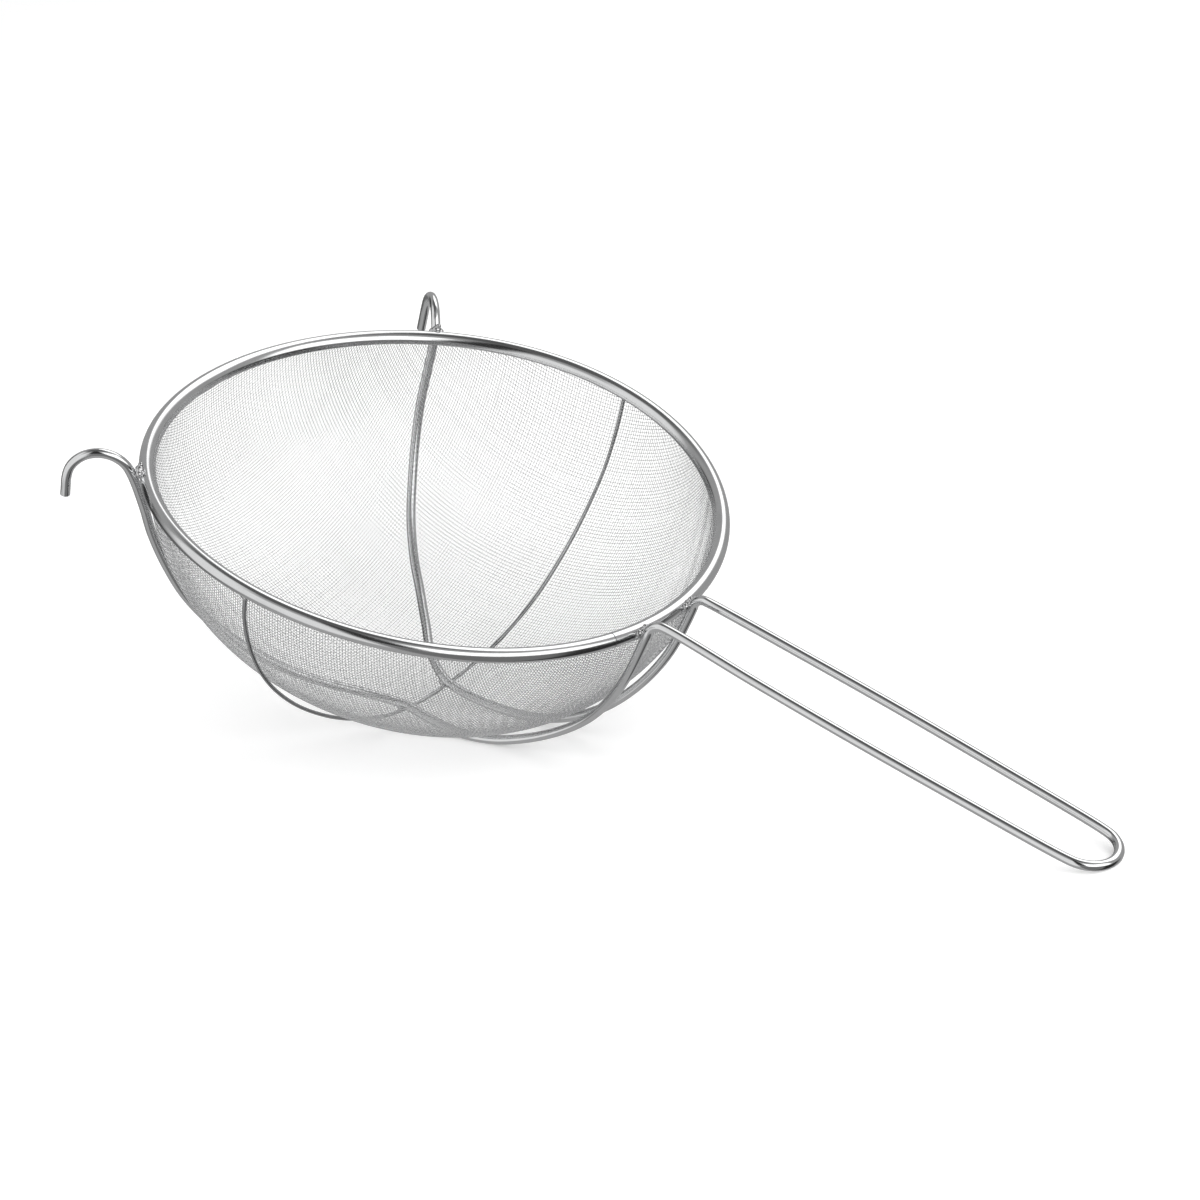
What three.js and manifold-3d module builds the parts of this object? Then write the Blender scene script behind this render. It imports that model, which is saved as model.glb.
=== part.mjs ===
// Bowl strainer: a woven wire bowl in a rolled rim, carried by one bent wire that makes two pot hooks,
// two ribs under the bowl and a long loop handle. It rests tilted on its ribs and the end of its handle.
//
// Every piece is made in the bowl's own frame, in millimetres: the origin is the middle of the rim, +Z looks
// out of the bowl and +X runs along the handle. The last section tilts the whole strainer onto the table.

import * as THREE from 'three';
import { mergeVertices } from 'three/addons/utils/BufferGeometryUtils.js';
import Module from 'manifold-3d';

const wasm = await Module();
wasm.setup();

// Rolled rim
const RIM_RADIUS = 119;
const RIM_TUBE = 6;
const RIM_WALL = 0.8;
const RIM_SAG = 2.2;
const CORE_WIRE = 2.4;
const CORE_CLEARANCE = 0.3;

// Woven bowl, as the thin shell that its two layers of wire fill
const MESH_THICKNESS = 0.56;
const MESH_INSET = 1.6;
const MESH_CLEARANCE = 0.3;
const BOWL_DEPTH = 94.6;

// Frame wire
const WIRE = 4;
const CONTACT_GAP = 0.1;

// Pot hooks: where they leave the rim and where they point, as angles round the bowl from the handle
const HOOK_PLACE = 131.5;
const HOOK_HEADING = 140.5;
const HOOK_ARCH = 13.5;
const HOOK_ARCH_HEIGHT = -4.8;
const HOOK_LEG = 9;

// Ribs on the hook side: angles below the rim, turns from the hook's place, stand-offs from the mesh
const HOOK_RIB_DIP_ANGLES = [9, 18, 28, 37, 46, 55, 63, 71.5, 79.4];
const HOOK_RIB_TURN_ANGLES = [0.8, 1.6, 2.0, 2.0, 1.7, 0, -3.5, -9.6, -24.3];
const HOOK_RIB_STAND_OFFS = [3.3, 3.1, 4.2, 6.2, 7.6, 8.0, 7.7, 7.2, 6.9];
// The fork, where both ribs turn towards the handle and the cross wire passes under them
const FORK_X = 9;
const FORK_HALF_GAP = 13.6;
const FORK_STAND_OFF = 7.2;
// Ribs on the handle side: angles below the rim, stand-offs from the mesh, half gaps between the ribs
const HANDLE_RIB_DIP_ANGLES = [77.7, 70.5, 62.8, 54.6, 45.8, 36.5, 26.4, 15.1];
const HANDLE_RIB_STAND_OFFS = [8.6, 9.6, 9.4, 8.1, 6.7, 5.5, 4.6, 4.5];
const HANDLE_RIB_HALF_GAPS = [12.8, 13.2, 12.4, 10.8, 9.6, 10.4, 12.6, 14.4];

// Handle
const HANDLE_WELD_HALF_GAP = 15;
const HANDLE_BEND = 7;
const HANDLE_RISE = 5.5;
const ARM_LENGTH = 188;
const ARM_START_HALF_GAP = 14;
const ARM_BOW = 1.6;
const LOOP_RADIUS = 13.1;

// Cross wire: angles below the rim (degrees), gaps to the mesh, places along the handle
const CROSS_WIRE = 1.6;
const CROSS_DIP_ANGLES = [8, 20, 32, 44, 55, 64, 71.5];
const CROSS_GAPS = [0.3, 0.3, 0.4, 0.8, 1.6, 3.0, 5.0];
const CROSS_PLACES = [4.6, 5.8, 7.0, 8.8, 10.8, 11.6, 11.2];

// Welds: sizes, and how far each sits from the touching point, in the groove beside it
const HOOK_WELD = 3;
const HOOK_WELD_LIFT = 2.6;
const HANDLE_WELD = 3.4;
const HANDLE_WELD_LIFT = 2.8;
const CROSSING_WELD = 2.2;
const CROSS_END_WELD = 1.6;
const WELD_CLEARANCE = 0.3;

// The flats on which the strainer stands
const REST_FLAT = 0.2;

// Fineness of the facets
const RING_STEPS = 64;
const RIM_ARC_STEPS = 12;
const BOWL_ROWS = 12;
const WIRE_SIDES = 8;
const CROSS_SIDES = 6;
const CORE_SIDES = 6;
const WIRE_STEP = 6.5;
const BEND_STEPS = 8;
const HOOK_STEPS = 18;
const TIGHT_BEND_STEPS = 6;
const ARM_STEPS = 8;
const LOOP_STEPS = 14;
const WELD_CUT_STEP = 1.5;
const WELD_SIDES = 12;
const WELD_RINGS = 8;
const MERGE_DISTANCE = 1e-4;

// Search for the resting tilt
const STEEPEST_TILT = 60;
const TILT_ROUNDS = 50;
const TILT_STEPS = 200;

// Derived sizes
const wireRadius = WIRE / 2;
const crossRadius = CROSS_WIRE / 2;
const rimTubeRadius = RIM_TUBE / 2;
const bowlRadius = RIM_RADIUS - MESH_INSET;
const wireRingRadius = RIM_RADIUS + rimTubeRadius + wireRadius + CONTACT_GAP;

const steel = (color, roughness) => new THREE.MeshStandardMaterial({ color, roughness, metalness: 1 });
const wireSteel = () => steel(0xd9dbdd, 0.16);
const rimSteel = () => steel(0xd2d4d6, 0.24);
const meshSteel = () => steel(0xc4c7ca, 0.3);
const weldSteel = () => steel(0xb9bbbd, 0.42);

const radians = THREE.MathUtils.degToRad;
const vector = (x, y, z) => new THREE.Vector3(x, y, z);

// The rim is slightly saddle-shaped: lowest at the handle and across from it, highest halfway between.
const rimHeight = (angle) => -RIM_SAG * Math.cos(2 * angle);

// Solids and meshes

function solidOf(geometry) {
  const bare = geometry.clone();
  bare.deleteAttribute('normal');
  bare.deleteAttribute('uv');
  const merged = mergeVertices(bare, MERGE_DISTANCE);
  return new wasm.Manifold(new wasm.Mesh({
    numProp: 3,
    vertProperties: merged.attributes.position.array,
    triVerts: Uint32Array.from(merged.index.array),
  }));
}

function geometryOf(solid) {
  const { vertProperties, triVerts } = solid.getMesh();
  const geometry = new THREE.BufferGeometry();
  geometry.setAttribute('position', new THREE.BufferAttribute(vertProperties, 3));
  geometry.setIndex(new THREE.BufferAttribute(triVerts, 1));
  geometry.computeVertexNormals();
  return geometry;
}

function named(name, geometry, material) {
  const mesh = new THREE.Mesh(geometry, material);
  mesh.name = name;
  return mesh;
}

function indexed(positions, triangles) {
  const geometry = new THREE.BufferGeometry();
  geometry.setAttribute('position', new THREE.Float32BufferAttribute(positions, 3));
  geometry.setIndex(triangles);
  geometry.computeVertexNormals();
  return geometry;
}

// Rings: a closed section of [outward, upward] points, carried round the rim

function ringGeometry(section) {
  const positions = [];
  const triangles = [];
  const count = section.length;
  const place = (step, point) => (step % RING_STEPS) * count + (point % count);
  for (let step = 0; step < RING_STEPS; step++) {
    const angle = (2 * Math.PI * step) / RING_STEPS;
    for (const [outward, upward] of section) {
      const radius = RIM_RADIUS + outward;
      positions.push(radius * Math.cos(angle), radius * Math.sin(angle), rimHeight(angle) + upward);
    }
    for (let point = 0; point < count; point++) {
      const a = place(step, point);
      const b = place(step + 1, point);
      const c = place(step + 1, point + 1);
      const d = place(step, point + 1);
      triangles.push(a, b, c, a, c, d);
    }
  }
  return indexed(positions, triangles);
}

function arcPoints(radius, from, to, steps) {
  return Array.from({ length: steps + 1 }, (_, step) => {
    const angle = from + ((to - from) * step) / steps;
    return [radius * Math.cos(angle), radius * Math.sin(angle)];
  });
}

// The rim's strip is rolled nearly shut: its slit, below and inside, takes the edge of the mesh.
function rimSection() {
  const inner = rimTubeRadius - RIM_WALL;
  const slitOuter = -MESH_INSET + MESH_THICKNESS / 2 + MESH_CLEARANCE;
  const slitInner = -MESH_INSET - MESH_THICKNESS / 2 - MESH_CLEARANCE;
  const below = (radius, outward) => 2 * Math.PI - Math.acos(Math.max(outward / radius, -1));
  const turn = 2 * Math.PI;
  const outside = arcPoints(rimTubeRadius, below(rimTubeRadius, slitOuter) - turn,
    below(rimTubeRadius, slitInner), RIM_ARC_STEPS);
  const inside = arcPoints(inner, below(inner, slitInner), below(inner, slitOuter) - turn, RIM_ARC_STEPS);
  return [...outside, ...inside];
}

function coreSection() {
  const radius = CORE_WIRE / 2;
  const outward = rimTubeRadius - RIM_WALL - CORE_CLEARANCE - radius;
  const circle = arcPoints(radius, 0, 2 * Math.PI, CORE_SIDES).slice(0, CORE_SIDES);
  return circle.map(([x, z]) => [outward + x, z]);
}

// Bowl: a thin ellipsoid shell whose edge follows the rim

function bowlGeometry(thickness) {
  const positions = [];
  const triangles = [];
  const edge = MESH_CLEARANCE / BOWL_DEPTH;
  const row = (layer, ring) => (layer * BOWL_ROWS + ring) * RING_STEPS;
  for (const side of [0.5, -0.5]) {
    const radius = bowlRadius + side * thickness;
    const depth = BOWL_DEPTH + side * thickness;
    for (let ring = 0; ring < BOWL_ROWS; ring++) {
      const latitude = edge + ((Math.PI / 2 - edge) * ring) / BOWL_ROWS;
      for (let step = 0; step < RING_STEPS; step++) {
        const angle = (2 * Math.PI * step) / RING_STEPS;
        const out = Math.cos(latitude);
        positions.push(radius * out * Math.cos(angle), radius * out * Math.sin(angle),
          rimHeight(angle) * out - depth * Math.sin(latitude));
      }
    }
  }
  const poles = [2 * BOWL_ROWS * RING_STEPS, 2 * BOWL_ROWS * RING_STEPS + 1];
  positions.push(0, 0, -BOWL_DEPTH - thickness / 2);
  positions.push(0, 0, -BOWL_DEPTH + thickness / 2);
  const quad = (a, b, c, d, flip) => triangles.push(...(flip ? [a, c, b, a, d, c] : [a, b, c, a, c, d]));
  for (let step = 0; step < RING_STEPS; step++) {
    const next = (step + 1) % RING_STEPS;
    for (const layer of [0, 1]) {
      for (let ring = 0; ring < BOWL_ROWS - 1; ring++) {
        const top = row(layer, ring);
        const low = row(layer, ring + 1);
        quad(low + step, low + next, top + next, top + step, layer === 1);
      }
      const last = row(layer, BOWL_ROWS - 1);
      const fan = [poles[layer], last + next, last + step];
      triangles.push(...(layer === 1 ? [fan[0], fan[2], fan[1]] : fan));
    }
    quad(row(0, 0) + step, row(0, 0) + next, row(1, 0) + next, row(1, 0) + step, false);
  }
  return indexed(positions, triangles);
}

// A point off the mesh: plan radius and height, at a latitude (degrees) and a distance from its middle
function offBowl(latitude, distance) {
  const angle = radians(latitude);
  const radius = bowlRadius * Math.cos(angle);
  const height = -BOWL_DEPTH * Math.sin(angle);
  const normal = new THREE.Vector2(radius / bowlRadius ** 2, height / BOWL_DEPTH ** 2).normalize();
  return { radius: radius + normal.x * distance, height: height + normal.y * distance };
}

// Frame wire: the path of one side, from the hook's tip to the handle's end, and where it is split

function hookPoints(side) {
  const place = radians(HOOK_PLACE);
  const heading = radians(HOOK_HEADING);
  const onHook = (reach, height) => vector(
    wireRingRadius * Math.cos(place) + reach * Math.cos(heading),
    side * (wireRingRadius * Math.sin(place) + reach * Math.sin(heading)),
    height,
  );
  const points = [onHook(2 * HOOK_ARCH, HOOK_ARCH_HEIGHT - HOOK_LEG)];
  points.push(onHook(2 * HOOK_ARCH, HOOK_ARCH_HEIGHT - HOOK_LEG / 2));
  for (let step = 0; step <= BEND_STEPS; step++) {
    const angle = (Math.PI * step) / BEND_STEPS;
    const reach = HOOK_ARCH * (1 + Math.cos(angle));
    points.push(onHook(reach, HOOK_ARCH_HEIGHT + HOOK_ARCH * Math.sin(angle)));
  }
  return points;
}

function hookSideRibPoints(side) {
  return HOOK_RIB_DIP_ANGLES.map((latitude, knot) => {
    const { radius, height } = offBowl(latitude, HOOK_RIB_STAND_OFFS[knot]);
    const angle = radians(HOOK_PLACE + HOOK_RIB_TURN_ANGLES[knot]);
    return vector(radius * Math.cos(angle), side * radius * Math.sin(angle), height);
  });
}

function forkPoint(side) {
  const reach = Math.hypot(FORK_X, FORK_HALF_GAP) / (bowlRadius + FORK_STAND_OFF);
  const height = -(BOWL_DEPTH + FORK_STAND_OFF) * Math.sqrt(1 - reach ** 2);
  return vector(FORK_X, side * FORK_HALF_GAP, height);
}

function handleSideRibPoints(side) {
  return HANDLE_RIB_DIP_ANGLES.map((latitude, knot) => {
    const { radius, height } = offBowl(latitude, HANDLE_RIB_STAND_OFFS[knot]);
    const halfGap = HANDLE_RIB_HALF_GAPS[knot];
    return vector(Math.sqrt(radius ** 2 - halfGap ** 2), side * halfGap, height);
  });
}

function handlePoints(side) {
  const weldX = Math.sqrt(wireRingRadius ** 2 - HANDLE_WELD_HALF_GAP ** 2);
  const points = [];
  for (let step = 0; step <= BEND_STEPS / 2; step++) {
    const angle = (Math.PI * step) / BEND_STEPS;
    const share = (2 * step) / BEND_STEPS;
    const halfGap = THREE.MathUtils.lerp(HANDLE_WELD_HALF_GAP, ARM_START_HALF_GAP, share);
    points.push(vector(weldX + HANDLE_BEND * (1 - Math.cos(angle)), side * halfGap,
      HANDLE_RISE - HANDLE_BEND * (1 - Math.sin(angle))));
  }
  const armStart = weldX + HANDLE_BEND;
  for (const share of [0.25, 0.5, 0.75, 1]) {
    const straight = THREE.MathUtils.lerp(ARM_START_HALF_GAP, LOOP_RADIUS, share);
    const halfGap = straight + ARM_BOW * Math.sin(Math.PI * share);
    points.push(vector(armStart + ARM_LENGTH * share, side * halfGap, HANDLE_RISE));
  }
  return points;
}

function loopPoints(side) {
  const centre = Math.sqrt(wireRingRadius ** 2 - HANDLE_WELD_HALF_GAP ** 2) + HANDLE_BEND + ARM_LENGTH;
  return Array.from({ length: BEND_STEPS - 1 }, (_, step) => {
    const angle = (Math.PI * (step + 1)) / BEND_STEPS;
    return vector(centre + LOOP_RADIUS * Math.sin(angle), side * LOOP_RADIUS * Math.cos(angle), HANDLE_RISE);
  });
}

// The whole frame wire: one curve from the left hook's tip round to the right hook's tip
function frameWire() {
  const half = (side) => {
    const hook = hookPoints(side);
    const hookRib = hookSideRibPoints(side);
    const handleRib = handleSideRibPoints(side);
    const handle = handlePoints(side);
    const points = [...hook, ...hookRib, forkPoint(side), ...handleRib, ...handle];
    const hookEnd = hook.length - 1;
    const fork = hookEnd + hookRib.length + 1;
    const handleWeld = fork + handleRib.length + 1;
    const bendEnd = handleWeld + BEND_STEPS / 2;
    return { points, splits: { hookEnd, fork, handleWeld, bendEnd, armEnd: points.length - 1 } };
  };
  const left = half(-1);
  const right = half(1);
  const loop = loopPoints(-1);
  const points = [...left.points, ...loop, ...right.points.reverse()];
  return { curve: new THREE.CatmullRomCurve3(points, false, 'centripetal'), count: points.length, ...left };
}

// A stretch of the frame wire, whose end faces lie square to the whole wire
class WireStretch extends THREE.Curve {
  constructor(curve, from, to) {
    super();
    Object.assign(this, { curve, from, to });
  }

  along(t) {
    return this.from + (this.to - this.from) * t;
  }

  getPoint(t, target) {
    return this.curve.getPoint(this.along(t), target);
  }

  getTangent(t, target) {
    return this.curve.getTangent(this.along(t), target);
  }
}

function roundShape(radius, sides) {
  return new THREE.Shape(arcPoints(radius, 0, 2 * Math.PI, sides).slice(0, sides)
    .map(([x, y]) => new THREE.Vector2(x, y)));
}

function tube(path, radius, sides, steps = Math.ceil(path.getLength() / WIRE_STEP)) {
  const section = roundShape(radius, sides);
  return new THREE.ExtrudeGeometry(section, { steps, bevelEnabled: false, extrudePath: path });
}

// Cross wire: hugs the mesh below the rim, then drops under the two ribs

function crossRoute() {
  const fork = forkPoint(1);
  const under = fork.z - wireRadius - CONTACT_GAP - crossRadius;
  const endRadius = bowlRadius + MESH_THICKNESS / 2 + MESH_CLEARANCE + crossRadius;
  const end = rimHeight(Math.PI / 2) - rimTubeRadius - CONTACT_GAP;
  const firstX = CROSS_PLACES[0];
  const half = [vector(firstX, Math.sqrt(endRadius ** 2 - firstX ** 2), end)];
  CROSS_DIP_ANGLES.forEach((latitude, knot) => {
    const { radius, height } = offBowl(latitude, MESH_THICKNESS / 2 + CROSS_GAPS[knot] + crossRadius);
    const x = CROSS_PLACES[knot];
    half.push(vector(x, Math.sqrt(radius ** 2 - x ** 2), height));
  });
  half.push(vector(FORK_X, fork.y, under));
  const mirrored = half.map((point) => vector(point.x, -point.y, point.z)).reverse();
  return new THREE.CatmullRomCurve3([...half, ...mirrored], false, 'centripetal');
}

// Welds: a bead of metal in the groove beside the place where two pieces touch, less those pieces

function weldGeometry(centre, radius, neighbours) {
  const ball = new THREE.SphereGeometry(radius, WELD_SIDES, WELD_RINGS).translate(...centre);
  const solid = neighbours.reduce((rest, neighbour) => rest.subtract(neighbour), solidOf(ball));
  return geometryOf(solid);
}

// Assembly in the bowl's frame

const frame = frameWire();
const { hookEnd, fork, handleWeld, bendEnd, armEnd } = frame.splits;
const lastKnot = frame.count - 1;
const stretch = (from, to) => new WireStretch(frame.curve, from / lastKnot, to / lastKnot);
const sides = { left: (knot) => knot, right: (knot) => lastKnot - knot };
const lengths = {
  hook: [0, hookEnd],
  rib_hook_side: [hookEnd, fork],
  rib_handle_side: [fork, handleWeld],
  handle_bend: [handleWeld, bendEnd],
  handle_arm: [bendEnd, armEnd],
};
const loopStretch = stretch(armEnd, lastKnot - armEnd);
const crossPath = crossRoute();

const wirePaths = { handle_end: loopStretch };
for (const [sideName, knotOn] of Object.entries(sides)) {
  for (const [name, [from, to]] of Object.entries(lengths)) {
    const [first, last] = [knotOn(from), knotOn(to)].sort((a, b) => a - b);
    wirePaths[`${name}_${sideName}`] = stretch(first, last);
  }
}

// Resting tilt: turned about Y until the lowest points of the ribs and of the handle's end are level
function lowest(path, tilt) {
  return Math.min(...path.getSpacedPoints(TILT_STEPS)
    .map((point) => point.z * Math.cos(tilt) - point.x * Math.sin(tilt)));
}

function restingTilt() {
  let [low, high] = [0, radians(STEEPEST_TILT)];
  for (let step = 0; step < TILT_ROUNDS; step++) {
    const middle = (low + high) / 2;
    const ribsLower = lowest(wirePaths.rib_handle_side_left, middle) < lowest(loopStretch, middle);
    [low, high] = ribsLower ? [middle, high] : [low, middle];
  }
  return (low + high) / 2;
}

const tilt = restingTilt();
const tableHeight = lowest(loopStretch, tilt) - wireRadius + REST_FLAT;

// The table, as a block whose top meets the wires just above their lowest lines and leaves small flats
const tableSize = 4 * (RIM_RADIUS + ARM_LENGTH);
const table = solidOf(new THREE.BoxGeometry(tableSize, tableSize, tableSize)
  .translate(0, 0, tableHeight - tableSize / 2).rotateY(-tilt));

const strainer = new THREE.Group();
strainer.add(named('rim_band', ringGeometry(rimSection()), rimSteel()));
strainer.add(named('rim_core_wire', ringGeometry(coreSection()), wireSteel()));
strainer.add(named('mesh_bowl', bowlGeometry(MESH_THICKNESS), meshSteel()));
strainer.add(named('cross_wire', tube(crossPath, crossRadius, CROSS_SIDES), wireSteel()));

// Bends and arms take a set number of steps, and the ribs one every few millimetres.
const setSteps = {
  hook: HOOK_STEPS,
  handle_bend: TIGHT_BEND_STEPS,
  handle_arm: ARM_STEPS,
  handle_end: LOOP_STEPS,
};

for (const name of Object.keys(wirePaths)) {
  const steps = setSteps[name.replace(/_(left|right)$/, '')];
  const wire = tube(wirePaths[name], wireRadius, WIRE_SIDES, steps);
  const stands = name === 'handle_end' || name.startsWith('rib_handle_side');
  strainer.add(named(name, stands ? geometryOf(solidOf(wire).subtract(table)) : wire, wireSteel()));
}

// What the welds are fitted round: the rim and the wires, each grown by the welds' clearance
const grownSection = arcPoints(rimTubeRadius + WELD_CLEARANCE, 0, 2 * Math.PI, RIM_ARC_STEPS);
const grownRim = solidOf(ringGeometry(grownSection.slice(0, RIM_ARC_STEPS)));
const grownBowl = solidOf(bowlGeometry(MESH_THICKNESS + 2 * WELD_CLEARANCE));
const grownCross = solidOf(tube(crossPath, crossRadius + WELD_CLEARANCE, CROSS_SIDES));
const handlePlace = Math.asin(HANDLE_WELD_HALF_GAP / wireRingRadius);

for (const [sideName, side] of [['left', -1], ['right', 1]]) {
  const halfPath = side < 0 ? stretch(0, armEnd) : stretch(lastKnot - armEnd, lastKnot);
  const halfSteps = Math.ceil(halfPath.getLength() / WELD_CUT_STEP);
  const grownWire = solidOf(tube(halfPath, wireRadius + WELD_CLEARANCE, WIRE_SIDES, halfSteps));
  const aboveRim = (angle, lift) => vector(
    (RIM_RADIUS + rimTubeRadius) * Math.cos(angle),
    side * (RIM_RADIUS + rimTubeRadius) * Math.sin(angle),
    rimHeight(angle) + lift,
  );
  const hookWeld = aboveRim(radians(HOOK_PLACE), HOOK_WELD_LIFT);
  const handleWeldAt = aboveRim(handlePlace, HANDLE_WELD_LIFT);
  const crossingWeld = forkPoint(side).add(vector(-CROSSING_WELD, 0, -wireRadius));
  const crossEnd = crossPath.getPoint(side > 0 ? 0 : 1);
  const crossEndWeld = crossEnd.clone().add(vector(0, side * crossRadius, 0));
  const welds = {
    weld_hook: [hookWeld, HOOK_WELD, [grownRim, grownWire]],
    weld_handle: [handleWeldAt, HANDLE_WELD, [grownRim, grownWire]],
    weld_crossing: [crossingWeld, CROSSING_WELD, [grownCross, grownWire]],
    weld_cross_end: [crossEndWeld, CROSS_END_WELD, [grownRim, grownCross, grownBowl]],
  };
  for (const [name, [centre, radius, neighbours]] of Object.entries(welds)) {
    strainer.add(named(`${name}_${sideName}`, weldGeometry(centre, radius, neighbours), weldSteel()));
  }
}

// Stand the strainer on the table, with the middle of its footprint at the origin
strainer.rotation.y = tilt;
strainer.position.z = -tableHeight;
strainer.updateMatrixWorld(true);
const reach = new THREE.Box3().setFromObject(strainer, true);
strainer.position.x = -(reach.min.x + reach.max.x) / 2;

const root = new THREE.Group();
root.add(strainer);

export default root;
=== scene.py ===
"""Wire-mesh bowl strainer, tilted on its ribs and handle end on a white table.

Sizes are in millimetres in the strainer's own frame: the origin is the middle of the rim, +Z looks out of
the bowl and +X runs along the handle. stand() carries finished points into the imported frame, in metres.
"""

import math

import bpy
import numpy as np
from mathutils import Euler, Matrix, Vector


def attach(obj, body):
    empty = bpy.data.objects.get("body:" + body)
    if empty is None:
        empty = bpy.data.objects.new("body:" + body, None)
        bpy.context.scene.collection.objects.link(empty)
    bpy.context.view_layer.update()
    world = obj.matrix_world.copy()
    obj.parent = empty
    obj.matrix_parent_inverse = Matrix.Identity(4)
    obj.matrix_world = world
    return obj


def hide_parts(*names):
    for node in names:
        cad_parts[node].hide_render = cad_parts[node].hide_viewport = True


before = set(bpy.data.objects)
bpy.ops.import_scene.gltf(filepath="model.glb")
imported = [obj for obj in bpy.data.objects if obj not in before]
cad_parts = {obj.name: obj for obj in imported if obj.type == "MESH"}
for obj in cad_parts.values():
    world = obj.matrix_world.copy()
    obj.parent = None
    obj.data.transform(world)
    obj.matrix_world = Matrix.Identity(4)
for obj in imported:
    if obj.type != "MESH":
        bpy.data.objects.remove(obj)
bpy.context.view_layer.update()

MM = 0.001

# How the strainer stands
TILT = math.radians(19.7053)
RIM_CENTRE = np.array([-99.806, 0.0, 108.327])

# Rolled rim
RIM_RADIUS = 119.0
RIM_TUBE = 6.0
RIM_WALL = 0.8
RIM_SAG = 2.2
RIM_ROLL_START = math.radians(-110)
RIM_BENDS = ((math.radians(100), RIM_TUBE / 2), (math.radians(168), 4.0), (math.radians(200), 2.4))
RIM_FACET = math.radians(7)
RIM_SPIN_STEPS = 300
RIM_SHARP_EDGE = math.radians(40)
SEAM_ANGLE = math.radians(-13.5)
SEAM_GAP = 0.35

# Woven bowl
MESH_INSET = 1.6
BOWL_RADIUS = RIM_RADIUS - MESH_INSET
BOWL_DEPTH = 94.6
CLOTH_EDGE = -0.3
CLOTH_WIRE = 0.22
CLOTH_TURN = math.radians(8.0)
PITCH_ACROSS_HANDLE = 1.61
PITCH_ALONG_HANDLE = 1.25
CLOTH_CELL = 6.0
CLOTH_REACH = 175.0
CLOTH_WIRE_ROUNDNESS = 0
MERIDIAN_POINTS = 4000
MERIDIAN_PAST_RIM = 0.35
CORNER_ROUNDS = 8

# Frame wire
WIRE = 4.0
WIRE_ROUNDNESS = 6
CONTACT_GAP = 0.1
WIRE_RING = RIM_RADIUS + RIM_TUBE / 2 + WIRE / 2 + CONTACT_GAP
ROUTE_STEP = 1.2
SPLINE_STEPS = 24

# Pot hooks: the outer leg's length and lean are given for the left (-1) and the right (1)
HOOK_PLACE = 131.5
HOOK_HEADING = 140.5
HOOK_ARCH = 13.5
HOOK_ARCH_HEIGHT = -4.8
HOOK_LEGS = {-1: 8.0, 1: 14.0}
HOOK_LEANS = {-1: 0.0, 1: math.radians(13)}

# Ribs: angles below the rim (degrees), stand-offs from the cloth and where each knot lies round the bowl
HOOK_RIB_DIP_ANGLES = (9, 18, 28, 37, 46, 55, 63, 71.5, 79.4)
HOOK_RIB_TURN_ANGLES = (0.8, 1.6, 2.0, 2.0, 1.7, 0, -3.5, -9.6, -24.3)
HOOK_RIB_STAND_OFFS = (3.3, 3.1, 4.2, 6.2, 7.6, 8.0, 7.7, 7.2, 6.9)
FORK_X = 9.0
FORK_HALF_GAP = 13.6
FORK_STAND_OFF = 7.2
HANDLE_RIB_DIP_ANGLES = (77.7, 70.5, 62.8, 54.6, 45.8, 36.5, 26.4, 15.1)
HANDLE_RIB_STAND_OFFS = (8.6, 9.6, 9.4, 8.1, 6.7, 5.5, 4.6, 4.5)
HANDLE_RIB_HALF_GAPS = (12.8, 13.2, 12.4, 10.8, 9.6, 10.4, 12.6, 14.4)

# Handle
HANDLE_WELD_HALF_GAP = 15.0
HANDLE_WELD_X = math.sqrt(WIRE_RING ** 2 - HANDLE_WELD_HALF_GAP ** 2)
HANDLE_BEND = 7.0
HANDLE_RISE = 5.5
ARM_LENGTH = 188.0
ARM_START_HALF_GAP = 14.0
ARM_BOW = 1.6
LOOP_RADIUS = 13.1
BEND_STEPS = 8

# Cross wire
CROSS_WIRE = 1.6
CROSS_WIRE_ROUNDNESS = 3
CROSS_DIP_ANGLES = (8, 20, 32, 44, 55, 64, 71.5)
CROSS_GAPS = (0.3, 0.3, 0.4, 0.8, 1.6, 3.0, 5.0)
CROSS_PLACES = (4.6, 5.8, 7.0, 8.8, 10.8, 11.6, 11.2)

# Welds: where each bead sits, then each lobe's place outward, round the rim and up from there, and its width
WELD_VOXEL = 0.22
WELD_SMOOTHING = 3
WELD_LOBE_ROUNDNESS = 2
HOOK_WELD_LIFT = 2.4
HOOK_WELD_LOBES = (
    (0, 0, 0.4, 4.4),
    (0.3, 1.9, -0.8, 2.8),
    (-0.2, -1.9, -0.3, 2.6),
    (0.2, 0.4, -2.3, 2.8),
    (-0.3, -0.6, 2.2, 2.4),
)
HANDLE_WELD_LIFT = 1.6
HANDLE_WELD_LOBES = (
    (0, 0, 0.5, 4.4),
    (0.2, 2.3, 0.2, 3.0),
    (-0.1, -2.2, -0.2, 3.2),
    (0.4, 0.3, 2.3, 2.6),
    (0, 0.8, -1.8, 2.6),
)
CROSSING_WELD_SHIFT = -1.2
CROSSING_WELD_LOBES = (
    (0, 0, 0, 3.2),
    (1.5, 0.4, -0.2, 2.2),
    (-1.4, -0.3, 0.1, 2.4),
    (0.2, 1.3, 0.2, 2.0),
)
CROSS_END_WELD_STAND_OFF = 1.8
CROSS_END_WELD_LOBES = (
    (0, 0, 0, 2.6),
    (0.2, 1.0, -0.5, 1.7),
    (-0.1, -0.9, -0.4, 1.8),
)

# Steel: smudges in the polish, and the fine grain left by drawing the wire
SMUDGE_SCALE = 90.0
SMUDGE_DETAIL = 3.0
SMUDGE_RAMP = (0.3, 0.7)
ROUGHNESS_RANGE = (0.8, 1.25)
GRAIN_DETAIL = 2.0
GRAIN_HEIGHT = 0.0001

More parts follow.
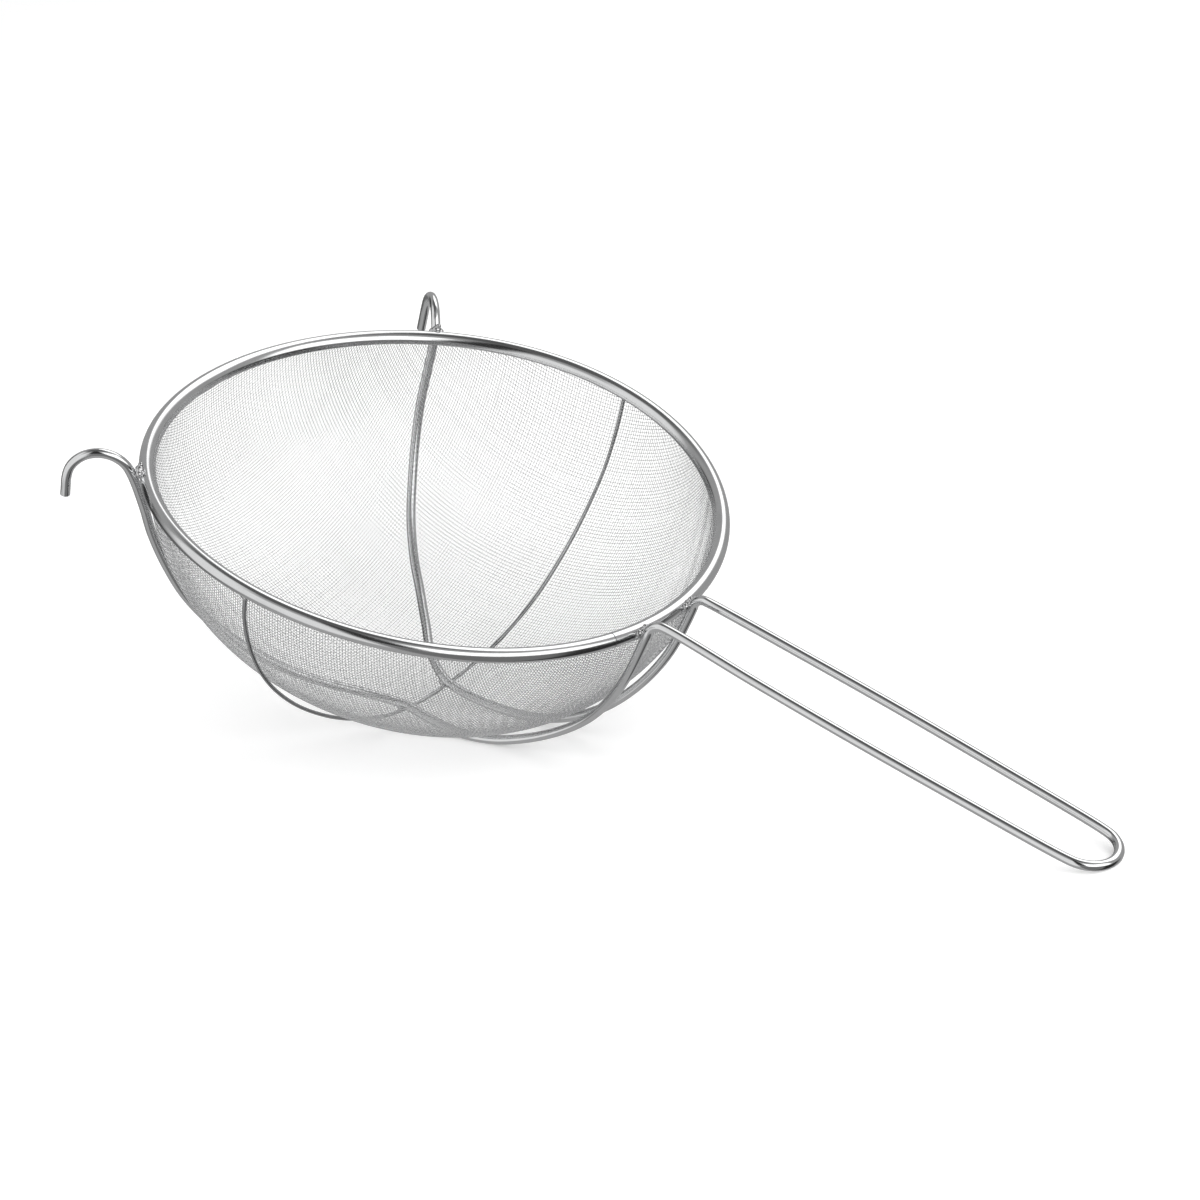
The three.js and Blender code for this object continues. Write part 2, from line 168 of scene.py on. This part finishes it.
# Camera
CAMERA_PLACE = (0.85118, -0.97562, 0.58843)
CAMERA_TURN = (68.1691, 7.186, 38.8775)
CAMERA_LENS = 105.2
CAMERA_SENSOR = 36.0
CAMERA_RANGE = 50

# Table and the lamp that lights it, in metres and watts; the glow keeps the table white to the camera
TABLE_SIZE = 8
TABLE_GREY = 0.88
TABLE_SEEN_GREY = 0.9
TABLE_GLOW = 0.25
SOFTBOX_PLACE = (2.8, -1.0, 2.2)
SOFTBOX_AIM = (-0.1, 0, 0)
SOFTBOX_SIZE = 4.4
SOFTBOX_POWER = 165

# Studio: the grey between the panels of light, then each panel or dark gap as its bearing, half width,
# lowest and highest edge, softness (degrees) and brightness; a later row covers an earlier one
STUDIO_GREY = 0.36
STUDIO_PANELS = (
    (0, 180, 62, 100, 8, 0.11),
    (170, 46, -100, -5, 8, 0.16),
    (0, 180, -100, -34, 10, 0.4),
    (228, 23, -20, 63, 8, 0.86),
    (270, 24, -34, 41, 8, 0.86),
    (352, 33, 2, 42, 5, 1.7),
    (355, 64, -100, -2, 5, 0.18),
    (24, 22, -100, -3, 6, 0.03),
    (88, 34, 32, 68, 6, 1.7),
    (303, 13, 2, 64, 6, 0.03),
    (180, 11, -15, 32, 8, 0.03),
)


def stand(points):
    """Strainer-frame millimetres to packed-frame metres."""
    x, y, z = np.asarray(points, float).T
    turned = np.stack([
        x * math.cos(TILT) + z * math.sin(TILT),
        y,
        z * math.cos(TILT) - x * math.sin(TILT),
    ], axis=1)
    return (turned + RIM_CENTRE) * MM


def rim_height(angle):
    """The rim is a slight saddle, lowest at the handle and across from it."""
    return -RIM_SAG * np.cos(2 * angle)


def deselect_all():
    if bpy.context.mode != "OBJECT":
        bpy.ops.object.mode_set(mode="OBJECT")
    bpy.ops.object.select_all(action="DESELECT")


def finish_piece(piece, name, material, replaced):
    """Name, dress and hang a finished piece on the frame."""
    piece.name = name
    piece.data.name = name
    piece.data.materials.clear()
    piece.data.materials.append(material)
    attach(piece, "root")
    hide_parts(*replaced)


# Routes of the wires

def smooth_route(knots, step):
    """Centripetal spline through the knots, resampled at an even step."""
    knots = np.asarray(knots, float)
    padded = np.vstack([2 * knots[0] - knots[1], knots, 2 * knots[-1] - knots[-2]])
    share = np.linspace(0, 1, SPLINE_STEPS, endpoint=False)[:, None]
    stretches = []
    for before, start, end, after in zip(padded, padded[1:], padded[2:], padded[3:]):
        lead, span, trail = (np.linalg.norm(b - a) ** 0.5
                             for a, b in ((before, start), (start, end), (end, after)))
        leave = (start - before) / lead - (end - before) / (lead + span) + (end - start) / span
        arrive = (end - start) / span - (after - start) / (span + trail) + (after - end) / trail
        leave, arrive = leave * span, arrive * span
        square, cube = share ** 2, share ** 3
        stretches.append((2 * cube - 3 * square + 1) * start + (cube - 2 * square + share) * leave
                         + (3 * square - 2 * cube) * end + (cube - square) * arrive)
    dense = np.vstack([*stretches, knots[-1:]])
    run = np.concatenate([[0], np.cumsum(np.linalg.norm(np.diff(dense, axis=0), axis=1))])
    marks = np.linspace(0, run[-1], max(2, round(run[-1] / step)) + 1)
    return np.stack([np.interp(marks, run, dense[:, axis]) for axis in range(3)], axis=1)


def off_bowl(dip, distance):
    """Plan radius and height of a point off the cloth, at an angle below the rim."""
    angle = math.radians(dip)
    radius, height = BOWL_RADIUS * math.cos(angle), -BOWL_DEPTH * math.sin(angle)
    normal = np.array([radius / BOWL_RADIUS ** 2, height / BOWL_DEPTH ** 2])
    normal /= np.linalg.norm(normal)
    return radius + normal[0] * distance, height + normal[1] * distance


def hook_knots(side):
    """From the tip up the outer leg and over the arch, ending above the rib that carries on from it."""
    place, heading = math.radians(HOOK_PLACE), math.radians(HOOK_HEADING)

    def on_hook(reach, height):
        return (WIRE_RING * math.cos(place) + reach * math.cos(heading),
                side * (WIRE_RING * math.sin(place) + reach * math.sin(heading)), height)

    def on_arch(angle):
        return HOOK_ARCH * (1 + math.cos(angle)), HOOK_ARCH_HEIGHT + HOOK_ARCH * math.sin(angle)

    lean, leg = HOOK_LEANS[side], HOOK_LEGS[side]
    leg_reach, leg_height = on_arch(lean)
    knots = []
    for share in (1, 0.5):
        knots.append(on_hook(leg_reach + leg * share * math.sin(lean),
                             leg_height - leg * share * math.cos(lean)))
    for step in range(BEND_STEPS):
        knots.append(on_hook(*on_arch(lean + (math.pi - lean) * step / BEND_STEPS)))
    return knots


def hook_rib_knots(side):
    knots = []
    for dip, turn, stand_off in zip(HOOK_RIB_DIP_ANGLES, HOOK_RIB_TURN_ANGLES, HOOK_RIB_STAND_OFFS):
        radius, height = off_bowl(dip, stand_off)
        angle = math.radians(HOOK_PLACE + turn)
        knots.append((radius * math.cos(angle), side * radius * math.sin(angle), height))
    return knots


def fork_knot(side):
    reach = math.hypot(FORK_X, FORK_HALF_GAP) / (BOWL_RADIUS + FORK_STAND_OFF)
    height = -(BOWL_DEPTH + FORK_STAND_OFF) * math.sqrt(1 - reach ** 2)
    return FORK_X, side * FORK_HALF_GAP, height


def handle_rib_knots(side):
    knots = []
    rows = zip(HANDLE_RIB_DIP_ANGLES, HANDLE_RIB_STAND_OFFS, HANDLE_RIB_HALF_GAPS)
    for dip, stand_off, half_gap in rows:
        radius, height = off_bowl(dip, stand_off)
        knots.append((math.sqrt(radius ** 2 - half_gap ** 2), side * half_gap, height))
    return knots


def handle_knots(side):
    knots = []
    closing = ARM_START_HALF_GAP - HANDLE_WELD_HALF_GAP
    for step in range(BEND_STEPS // 2 + 1):
        angle = math.pi * step / BEND_STEPS
        half_gap = HANDLE_WELD_HALF_GAP + closing * 2 * step / BEND_STEPS
        knots.append((HANDLE_WELD_X + HANDLE_BEND * (1 - math.cos(angle)), side * half_gap,
                      HANDLE_RISE - HANDLE_BEND * (1 - math.sin(angle))))
    for share in (0.25, 0.5, 0.75, 1):
        half_gap = ARM_START_HALF_GAP + (LOOP_RADIUS - ARM_START_HALF_GAP) * share
        half_gap += ARM_BOW * math.sin(math.pi * share)
        knots.append((HANDLE_WELD_X + HANDLE_BEND + ARM_LENGTH * share, side * half_gap, HANDLE_RISE))
    return knots


def loop_knots():
    centre = HANDLE_WELD_X + HANDLE_BEND + ARM_LENGTH
    angles = [math.pi * step / BEND_STEPS for step in range(1, BEND_STEPS)]
    return [(centre + LOOP_RADIUS * math.sin(angle), -LOOP_RADIUS * math.cos(angle), HANDLE_RISE)
            for angle in angles]


def frame_wire_route():
    """From the left hook's tip, under the bowl, round the handle and back to the right hook's tip."""
    halves = []
    for side in (-1, 1):
        halves.append([*hook_knots(side), *hook_rib_knots(side), fork_knot(side),
                       *handle_rib_knots(side), *handle_knots(side)])
    return smooth_route([*halves[0], *loop_knots(), *halves[1][::-1]], ROUTE_STEP)


def cross_wire_route():
    """Hugs the cloth below the rim, then drops under both ribs."""
    fork = fork_knot(1)
    under = fork[2] - WIRE / 2 - CONTACT_GAP - CROSS_WIRE / 2
    end_radius = BOWL_RADIUS + CLOTH_WIRE + CROSS_GAPS[0] + CROSS_WIRE / 2
    end_height = float(rim_height(math.pi / 2)) - RIM_TUBE / 2
    first = CROSS_PLACES[0]
    half = [(first, math.sqrt(end_radius ** 2 - first ** 2), end_height)]
    for dip, gap, x in zip(CROSS_DIP_ANGLES, CROSS_GAPS, CROSS_PLACES):
        radius, height = off_bowl(dip, CLOTH_WIRE + gap + CROSS_WIRE / 2)
        half.append((x, math.sqrt(radius ** 2 - x ** 2), height))
    half.append((FORK_X, fork[1], under))
    mirrored = [(x, -y, z) for x, y, z in reversed(half)]
    return smooth_route([*half, *mirrored], ROUTE_STEP)


# Wires as swept tubes

def swept_wires(routes, diameter, roundness):
    """One mesh of round wires along the routes, from a curve with a round bevel."""
    deselect_all()
    bpy.ops.curve.primitive_nurbs_path_add()
    piece = bpy.context.object
    curve = piece.data
    curve.splines.clear()
    curve.dimensions = "3D"
    curve.bevel_depth = diameter / 2 * MM
    curve.bevel_resolution = roundness
    curve.use_fill_caps = True
    for route in routes:
        spline = curve.splines.new("POLY")
        spline.points.add(len(route) - 1)
        placed = np.column_stack([stand(route), np.ones(len(route))])
        spline.points.foreach_set("co", placed.ravel())
        spline.use_smooth = True
    bpy.ops.object.convert(target="MESH")
    return bpy.context.object


# Rolled rim

def rim_section():
    """Outline of the rolled strip: round outside, flatter inside, open below where the cloth goes in."""
    outside = [RIM_TUBE / 2 * np.array([math.cos(RIM_ROLL_START), math.sin(RIM_ROLL_START)])]
    facing = RIM_ROLL_START
    for turn_to, bend_radius in RIM_BENDS:
        steps = max(2, round((turn_to - facing) / RIM_FACET))
        for angle in np.linspace(facing, turn_to, steps + 1)[1:]:
            middle = angle - (turn_to - facing) / steps / 2
            chord = 2 * bend_radius * math.sin((turn_to - facing) / steps / 2)
            outside.append(outside[-1] + chord * np.array([-math.sin(middle), math.cos(middle)]))
        facing = turn_to
    outside = np.array(outside)
    run = np.gradient(outside, axis=0)
    inward = np.stack([-run[:, 1], run[:, 0]], axis=1)
    inside = outside + RIM_WALL * inward / np.linalg.norm(inward, axis=1, keepdims=True)
    return np.vstack([outside, inside[::-1]])


def rolled_rim():
    section = rim_section()
    deselect_all()
    bpy.ops.mesh.primitive_circle_add(
        vertices=len(section), radius=RIM_TUBE / 2 * MM, location=(0, 0, 0))
    piece = bpy.context.object
    for vertex, (outward, upward) in zip(piece.data.vertices, section):
        vertex.co = Vector(((RIM_RADIUS + outward) * MM, 0, upward * MM))
    gap_angle = SEAM_GAP / RIM_RADIUS
    bpy.ops.object.mode_set(mode="EDIT")
    bpy.ops.mesh.select_all(action="SELECT")
    bpy.ops.mesh.spin(
        steps=RIM_SPIN_STEPS, angle=2 * math.pi - gap_angle, center=(0, 0, 0), axis=(0, 0, 1))
    bpy.ops.mesh.select_all(action="SELECT")
    bpy.ops.mesh.fill_holes(sides=0)
    bpy.ops.mesh.normals_make_consistent(inside=False)
    bpy.ops.object.mode_set(mode="OBJECT")
    flat = np.empty(len(piece.data.vertices) * 3)
    piece.data.vertices.foreach_get("co", flat)
    spun = flat.reshape(-1, 3) / MM
    radius = np.hypot(spun[:, 0], spun[:, 1])
    angle = np.arctan2(spun[:, 1], spun[:, 0]) + SEAM_ANGLE
    warped = np.stack([
        radius * np.cos(angle),
        radius * np.sin(angle),
        spun[:, 2] + rim_height(angle),
    ], axis=1)
    piece.data.vertices.foreach_set("co", stand(warped).ravel())
    piece.data.update()
    bpy.ops.object.shade_smooth_by_angle(angle=RIM_SHARP_EDGE)
    return piece


# Woven cloth: a square net of fixed cell size laid into the bowl from its lowest point

def on_ellipsoid(points):
    """Push points out from the bowl's centre onto the cloth's surface."""
    scaled = points / np.array([BOWL_RADIUS, BOWL_RADIUS, BOWL_DEPTH])
    return points / np.linalg.norm(scaled, axis=-1, keepdims=True)


def meridian(azimuth, count):
    """Points a cell apart from the bowl's lowest point up to a little past the rim."""
    dips = np.linspace(math.pi / 2, -MERIDIAN_PAST_RIM, MERIDIAN_POINTS)
    radius, height = BOWL_RADIUS * np.cos(dips), -BOWL_DEPTH * np.sin(dips)
    run = np.concatenate([[0], np.cumsum(np.hypot(np.diff(radius), np.diff(height)))])
    marks = np.arange(count + 1) * CLOTH_CELL
    at_radius, at_height = np.interp(marks, run, radius), np.interp(marks, run, height)
    return np.stack([at_radius * math.cos(azimuth), at_radius * math.sin(azimuth), at_height], axis=1)


def far_corner(left, right, near):
    """The surface point a cell's side away from two neighbours, opposite the near corner."""
    squares = np.array([BOWL_RADIUS, BOWL_RADIUS, BOWL_DEPTH]) ** 2
    point = left + right - near
    for _ in range(CORNER_ROUNDS):
        gaps = np.array([(point ** 2 / squares).sum() - 1,
                         ((point - left) ** 2).sum() / CLOTH_CELL ** 2 - 1,
                         ((point - right) ** 2).sum() / CLOTH_CELL ** 2 - 1])
        slopes = np.stack([2 * point / squares,
                           2 * (point - left) / CLOTH_CELL ** 2,
                           2 * (point - right) / CLOTH_CELL ** 2])
        point = point - np.linalg.solve(slopes, gaps)
    return point


def cloth_net(count):
    """Corners of the cloth's cells, as an array indexed by steps along and across the handle."""
    net = np.full((2 * count + 1, 2 * count + 1, 3), np.nan)
    for along in (1, -1):
        for across in (1, -1):
            first = meridian(CLOTH_TURN + (0 if along > 0 else math.pi), count)
            second = meridian(CLOTH_TURN + across * math.pi / 2, count)
            patch = np.full((count + 1, count + 1, 3), np.nan)
            patch[:, 0], patch[0] = first, second
            for i in range(1, count + 1):
                for j in range(1, count + 1):
                    left, right, near = patch[i - 1, j], patch[i, j - 1], patch[i - 1, j - 1]
                    if np.isnan(left).any() or np.isnan(right).any():
                        continue
                    if max(left[2], right[2]) > CLOTH_CELL:
                        continue
                    patch[i, j] = far_corner(left, right, near)
            rows = count + along * np.arange(count + 1)
            columns = count + across * np.arange(count + 1)
            net[np.ix_(rows, columns)] = patch
    return net


def woven_crossings():
    """Where the wires of the two families cross, their surface normals, and which lie inside the rim."""
    count = math.ceil(CLOTH_REACH / CLOTH_CELL)
    net = cloth_net(count)
    along = np.arange(PITCH_ALONG_HANDLE / 2, CLOTH_REACH, PITCH_ALONG_HANDLE)
    across = np.arange(PITCH_ACROSS_HANDLE / 2, CLOTH_REACH, PITCH_ACROSS_HANDLE)
    along, across = (np.concatenate([-marks[::-1], marks]) for marks in (along, across))
    place_u, place_v = along / CLOTH_CELL + count, across / CLOTH_CELL + count
    cell_u, cell_v = np.floor(place_u).astype(int), np.floor(place_v).astype(int)
    cell_u, cell_v = np.clip(cell_u, 0, 2 * count - 1), np.clip(cell_v, 0, 2 * count - 1)
    share_u, share_v = (place_u - cell_u)[:, None, None], (place_v - cell_v)[None, :, None]
    corner = [[net[np.ix_(cell_u + a, cell_v + b)] for b in (0, 1)] for a in (0, 1)]
    low = corner[0][0] * (1 - share_v) + corner[0][1] * share_v
    high = corner[1][0] * (1 - share_v) + corner[1][1] * share_v
    points = on_ellipsoid(low * (1 - share_u) + high * share_u)
    normals = points / np.array([BOWL_RADIUS, BOWL_RADIUS, BOWL_DEPTH]) ** 2
    normals /= np.linalg.norm(normals, axis=-1, keepdims=True)
    inside = np.nan_to_num(points[..., 2], nan=1.0) < CLOTH_EDGE
    radius = np.hypot(points[..., 0], points[..., 1])
    angle = np.arctan2(points[..., 1], points[..., 0])
    points[..., 2] += rim_height(angle) * radius / BOWL_RADIUS
    return points, normals, inside


def woven_wires(points, normals, inside, lift):
    """Wires along the first axis, each over and under its neighbours in turn."""
    rows, columns = inside.shape
    parity = (np.indices((rows, columns)).sum(axis=0) % 2) * 2 - 1
    crimped = points + normals * (lift * parity * CLOTH_WIRE / 2)[..., None]
    routes = []
    for column in range(columns):
        marks = np.flatnonzero(inside[:, column])
        if len(marks) > 2:
            routes.append(crimped[marks[0]:marks[-1] + 1, column])
    return routes


def woven_bowl(material):
    points, normals, inside = woven_crossings()
    families = {
        "cloth_wires_along_handle": woven_wires(points, normals, inside, 1),
        "cloth_wires_across_handle": woven_wires(
            points.swapaxes(0, 1), normals.swapaxes(0, 1), inside.T, -1),
    }
    for name, routes in families.items():
        half = len(routes) // 2
        for side, wires in (("first_half", routes[:half]), ("second_half", routes[half:])):
            piece = swept_wires(wires, CLOTH_WIRE, CLOTH_WIRE_ROUNDNESS)
            finish_piece(piece, f"{name}_{side}", material, ["mesh_bowl"])


# Welds

def weld_bead(name, centre, turn, lobes, material, replaced):
    """Lumps of melted steel run together; lobes lie outward, round the rim and up from the centre."""
    deselect_all()
    bpy.ops.mesh.primitive_ico_sphere_add(
        subdivisions=WELD_LOBE_ROUNDNESS, radius=lobes[0][3] / 2, location=(0, 0, 0))
    piece = bpy.context.object
    bpy.ops.object.mode_set(mode="EDIT")
    for *place, width in lobes[1:]:
        bpy.ops.mesh.primitive_ico_sphere_add(
            subdivisions=WELD_LOBE_ROUNDNESS, radius=width / 2, location=place)
    bpy.ops.object.mode_set(mode="OBJECT")
    bpy.ops.object.modifier_add(type="REMESH")
    piece.modifiers[-1].mode = "VOXEL"
    piece.modifiers[-1].voxel_size = WELD_VOXEL
    bpy.ops.object.modifier_apply(modifier=piece.modifiers[-1].name)
    bpy.ops.object.modifier_add(type="SMOOTH")
    piece.modifiers[-1].iterations = WELD_SMOOTHING
    bpy.ops.object.modifier_apply(modifier=piece.modifiers[-1].name)
    bpy.ops.object.shade_smooth()
    outward, along, up = np.array([vertex.co for vertex in piece.data.vertices]).T
    lump = np.stack([outward * math.cos(turn) - along * math.sin(turn),
                     outward * math.sin(turn) + along * math.cos(turn), up], axis=1)
    piece.data.vertices.foreach_set("co", stand(lump + np.array(centre)).ravel())
    piece.data.update()
    finish_piece(piece, name, material, replaced)


def welds(material):
    def on_rim(angle, lift):
        outside = RIM_RADIUS + RIM_TUBE / 2
        return outside * math.cos(angle), outside * math.sin(angle), float(rim_height(angle)) + lift

    for side, side_name in ((-1, "left"), (1, "right")):
        hook = side * math.radians(HOOK_PLACE)
        handle = side * math.asin(HANDLE_WELD_HALF_GAP / WIRE_RING)
        fork = fork_knot(side)
        crossing = (fork[0] + CROSSING_WELD_SHIFT, fork[1], fork[2] - WIRE / 2)
        cross_end = (CROSS_PLACES[0], side * (BOWL_RADIUS + CROSS_END_WELD_STAND_OFF),
                     float(rim_height(math.pi / 2)) - RIM_TUBE / 2)
        spots = {
            "hook": (on_rim(hook, HOOK_WELD_LIFT), hook, HOOK_WELD_LOBES),
            "handle": (on_rim(handle, HANDLE_WELD_LIFT), handle, HANDLE_WELD_LOBES),
            "crossing": (crossing, 0, CROSSING_WELD_LOBES),
            "cross_end": (cross_end, side * math.pi / 2, CROSS_END_WELD_LOBES),
        }
        for spot, (centre, turn, lobes) in spots.items():
            weld_bead(f"bead_{spot}_{side_name}", centre, turn, lobes, material,
                      [f"weld_{spot}_{side_name}"])


# Finishes

def steel(name, tint, roughness, grain_scale, grain_depth, smudge):
    """Bright stainless steel with a fine drawn grain and faint smudges."""
    material = bpy.data.materials.new(name)
    material.use_nodes = True
    nodes, links = material.node_tree.nodes, material.node_tree.links
    shader = nodes["Principled BSDF"]
    shader.inputs["Metallic"].default_value = 1.0
    place = nodes.new("ShaderNodeTexCoord")
    cloud = nodes.new("ShaderNodeTexNoise")
    cloud.inputs["Scale"].default_value = SMUDGE_SCALE
    cloud.inputs["Detail"].default_value = SMUDGE_DETAIL
    links.new(place.outputs["Object"], cloud.inputs["Vector"])
    tone = nodes.new("ShaderNodeValToRGB")
    smudged, clean = tone.color_ramp.elements
    smudged.position, clean.position = SMUDGE_RAMP
    smudged.color = (*(channel * (1 - smudge) for channel in tint), 1)
    clean.color = (*tint, 1)
    links.new(cloud.outputs["Fac"], tone.inputs["Fac"])
    links.new(tone.outputs["Color"], shader.inputs["Base Color"])
    rough = nodes.new("ShaderNodeMapRange")
    rough.inputs["To Min"].default_value = roughness * ROUGHNESS_RANGE[0]
    rough.inputs["To Max"].default_value = roughness * ROUGHNESS_RANGE[1]
    links.new(cloud.outputs["Fac"], rough.inputs["Value"])
    links.new(rough.outputs["Result"], shader.inputs["Roughness"])
    grain = nodes.new("ShaderNodeTexNoise")
    grain.inputs["Scale"].default_value = grain_scale
    grain.inputs["Detail"].default_value = GRAIN_DETAIL
    links.new(place.outputs["Object"], grain.inputs["Vector"])
    bump = nodes.new("ShaderNodeBump")
    bump.inputs["Strength"].default_value = grain_depth
    bump.inputs["Distance"].default_value = GRAIN_HEIGHT
    links.new(grain.outputs["Fac"], bump.inputs["Height"])
    links.new(bump.outputs["Normal"], shader.inputs["Normal"])
    return material


# Table, light and camera

def white_table():
    """White to the camera but for the soft shadow; the steel does not mirror it."""
    deselect_all()
    bpy.ops.mesh.primitive_plane_add(size=TABLE_SIZE, location=(0, 0, 0))
    table = bpy.context.object
    table.name = "table"
    table.visible_glossy = False
    material = bpy.data.materials.new("white_table")
    material.use_nodes = True
    nodes, links = material.node_tree.nodes, material.node_tree.links
    nodes.clear()
    output = nodes.new("ShaderNodeOutputMaterial")
    seen = nodes.new("ShaderNodeLightPath")
    plain = nodes.new("ShaderNodeBsdfDiffuse")
    plain.inputs["Color"].default_value = (TABLE_GREY, TABLE_GREY, TABLE_GREY, 1)
    shadowed = nodes.new("ShaderNodeBsdfDiffuse")
    shadowed.inputs["Color"].default_value = (TABLE_SEEN_GREY, TABLE_SEEN_GREY, TABLE_SEEN_GREY, 1)
    glow = nodes.new("ShaderNodeEmission")
    glow.inputs["Strength"].default_value = TABLE_GLOW
    both = nodes.new("ShaderNodeAddShader")
    choose = nodes.new("ShaderNodeMixShader")
    links.new(shadowed.outputs[0], both.inputs[0])
    links.new(glow.outputs[0], both.inputs[1])
    links.new(seen.outputs["Is Camera Ray"], choose.inputs["Fac"])
    links.new(plain.outputs[0], choose.inputs[1])
    links.new(both.outputs[0], choose.inputs[2])
    links.new(choose.outputs[0], output.inputs["Surface"])
    table.data.materials.append(material)


def studio_world():
    """Plain white to the camera; to the steel, panels of light with dark gaps between them."""
    world = bpy.data.worlds.new("white_studio")
    bpy.context.scene.world = world
    world.use_nodes = True
    nodes, links = world.node_tree.nodes, world.node_tree.links
    nodes.clear()

    def math_node(operation, *values):
        node = nodes.new("ShaderNodeMath")
        node.operation = operation
        for socket, value in zip(node.inputs, values):
            if isinstance(value, (int, float)):
                socket.default_value = value
            else:
                links.new(value, socket)
        return node.outputs[0]

    def fade(value, none_at, full_at):
        """From 0 at none_at to 1 at full_at."""
        node = nodes.new("ShaderNodeMapRange")
        node.interpolation_type = "SMOOTHSTEP"
        links.new(value, node.inputs["Value"])
        node.inputs["From Min"].default_value = none_at
        node.inputs["From Max"].default_value = full_at
        return node.outputs["Result"]

    place = nodes.new("ShaderNodeTexCoord")
    axes = nodes.new("ShaderNodeSeparateXYZ")
    links.new(place.outputs["Generated"], axes.inputs[0])
    rise = math_node("MULTIPLY", math_node("ARCSINE", axes.outputs["Z"]), 180 / math.pi)
    brightness = nodes.new("ShaderNodeValue").outputs[0]
    brightness.default_value = STUDIO_GREY
    for bearing, half_width, lowest, highest, edge, level in STUDIO_PANELS:
        turned = nodes.new("ShaderNodeVectorRotate")
        turned.rotation_type = "Z_AXIS"
        turned.inputs["Angle"].default_value = -math.radians(bearing)
        links.new(place.outputs["Generated"], turned.inputs["Vector"])
        across = nodes.new("ShaderNodeSeparateXYZ")
        links.new(turned.outputs[0], across.inputs[0])
        swing = math_node("ARCTAN2", across.outputs["Y"], across.outputs["X"])
        swing = math_node("MULTIPLY", math_node("ABSOLUTE", swing), 180 / math.pi)
        inside = math_node("MULTIPLY", fade(swing, half_width + edge, half_width - edge),
                           math_node("MULTIPLY", fade(rise, lowest - edge, lowest + edge),
                                     fade(rise, highest + edge, highest - edge)))
        change = math_node("MULTIPLY", inside, math_node("SUBTRACT", level, brightness))
        brightness = math_node("ADD", brightness, change)
    studio = nodes.new("ShaderNodeBackground")
    studio.inputs["Color"].default_value = (1, 1, 1, 1)
    links.new(brightness, studio.inputs["Strength"])
    white = nodes.new("ShaderNodeBackground")
    white.inputs["Color"].default_value = (1, 1, 1, 1)
    seen = nodes.new("ShaderNodeLightPath")
    choose = nodes.new("ShaderNodeMixShader")
    output = nodes.new("ShaderNodeOutputWorld")
    links.new(seen.outputs["Is Camera Ray"], choose.inputs["Fac"])
    links.new(studio.outputs[0], choose.inputs[1])
    links.new(white.outputs[0], choose.inputs[2])
    links.new(choose.outputs[0], output.inputs["Surface"])


def front_softbox():
    """Lights the table for its shadow; the steel does not mirror the lamp."""
    light = bpy.data.lights.new("front_softbox", "AREA")
    light.size = SOFTBOX_SIZE
    light.energy = SOFTBOX_POWER
    lamp = bpy.data.objects.new("front_softbox", light)
    lamp.location = SOFTBOX_PLACE
    lamp.visible_glossy = False
    aim = Vector(SOFTBOX_AIM) - Vector(SOFTBOX_PLACE)
    lamp.rotation_euler = aim.to_track_quat("-Z", "Y").to_euler()
    bpy.context.scene.collection.objects.link(lamp)


def camera():
    data = bpy.data.cameras.new("camera")
    data.lens = CAMERA_LENS
    data.sensor_width = CAMERA_SENSOR
    data.clip_end = CAMERA_RANGE
    eye = bpy.data.objects.new("camera", data)
    eye.location = CAMERA_PLACE
    eye.rotation_euler = Euler([math.radians(turn) for turn in CAMERA_TURN])
    bpy.context.scene.collection.objects.link(eye)
    bpy.context.scene.camera = eye


bpy.context.scene.view_settings.view_transform = "Standard"
camera()
white_table()
studio_world()
front_softbox()

wire_steel = steel("bright_wire_steel", tint=(0.82, 0.825, 0.83), roughness=0.1,
                   grain_scale=900, grain_depth=0.04, smudge=0.06)
# A darker copy of the wire steel for the cross wire under the bowl: its low tint is painted shade, and its
# higher roughness gives a duller finish.
cross_wire_painted_shade_steel = steel("dull_and_painted_shade_cross_wire_steel", tint=(0.58, 0.585, 0.59), roughness=0.2,
                    grain_scale=900, grain_depth=0.04, smudge=0.06)
rim_steel = steel("rolled_rim_steel", tint=(0.8, 0.805, 0.81), roughness=0.14,
                  grain_scale=700, grain_depth=0.05, smudge=0.08)
cloth_steel = steel("wire_cloth_steel", tint=(0.91, 0.915, 0.92), roughness=0.22,
                    grain_scale=2500, grain_depth=0.05, smudge=0.1)
weld_steel = steel("weld_steel", tint=(0.72, 0.72, 0.725), roughness=0.18,
                   grain_scale=1600, grain_depth=0.2, smudge=0.25)

frame_wire = swept_wires([frame_wire_route()], WIRE, WIRE_ROUNDNESS)
frame_nodes = [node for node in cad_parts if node.startswith(("hook_", "rib_", "handle_"))]
finish_piece(frame_wire, "frame_wire", wire_steel, frame_nodes)
cross_wire = swept_wires([cross_wire_route()], CROSS_WIRE, CROSS_WIRE_ROUNDNESS)
finish_piece(cross_wire, "under_cross_wire", cross_wire_painted_shade_steel, ["cross_wire"])
finish_piece(rolled_rim(), "rolled_rim", rim_steel, ["rim_band"])
woven_bowl(cloth_steel)
welds(weld_steel)
core_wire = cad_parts["rim_core_wire"]
core_wire.data.materials.clear()
core_wire.data.materials.append(wire_steel)
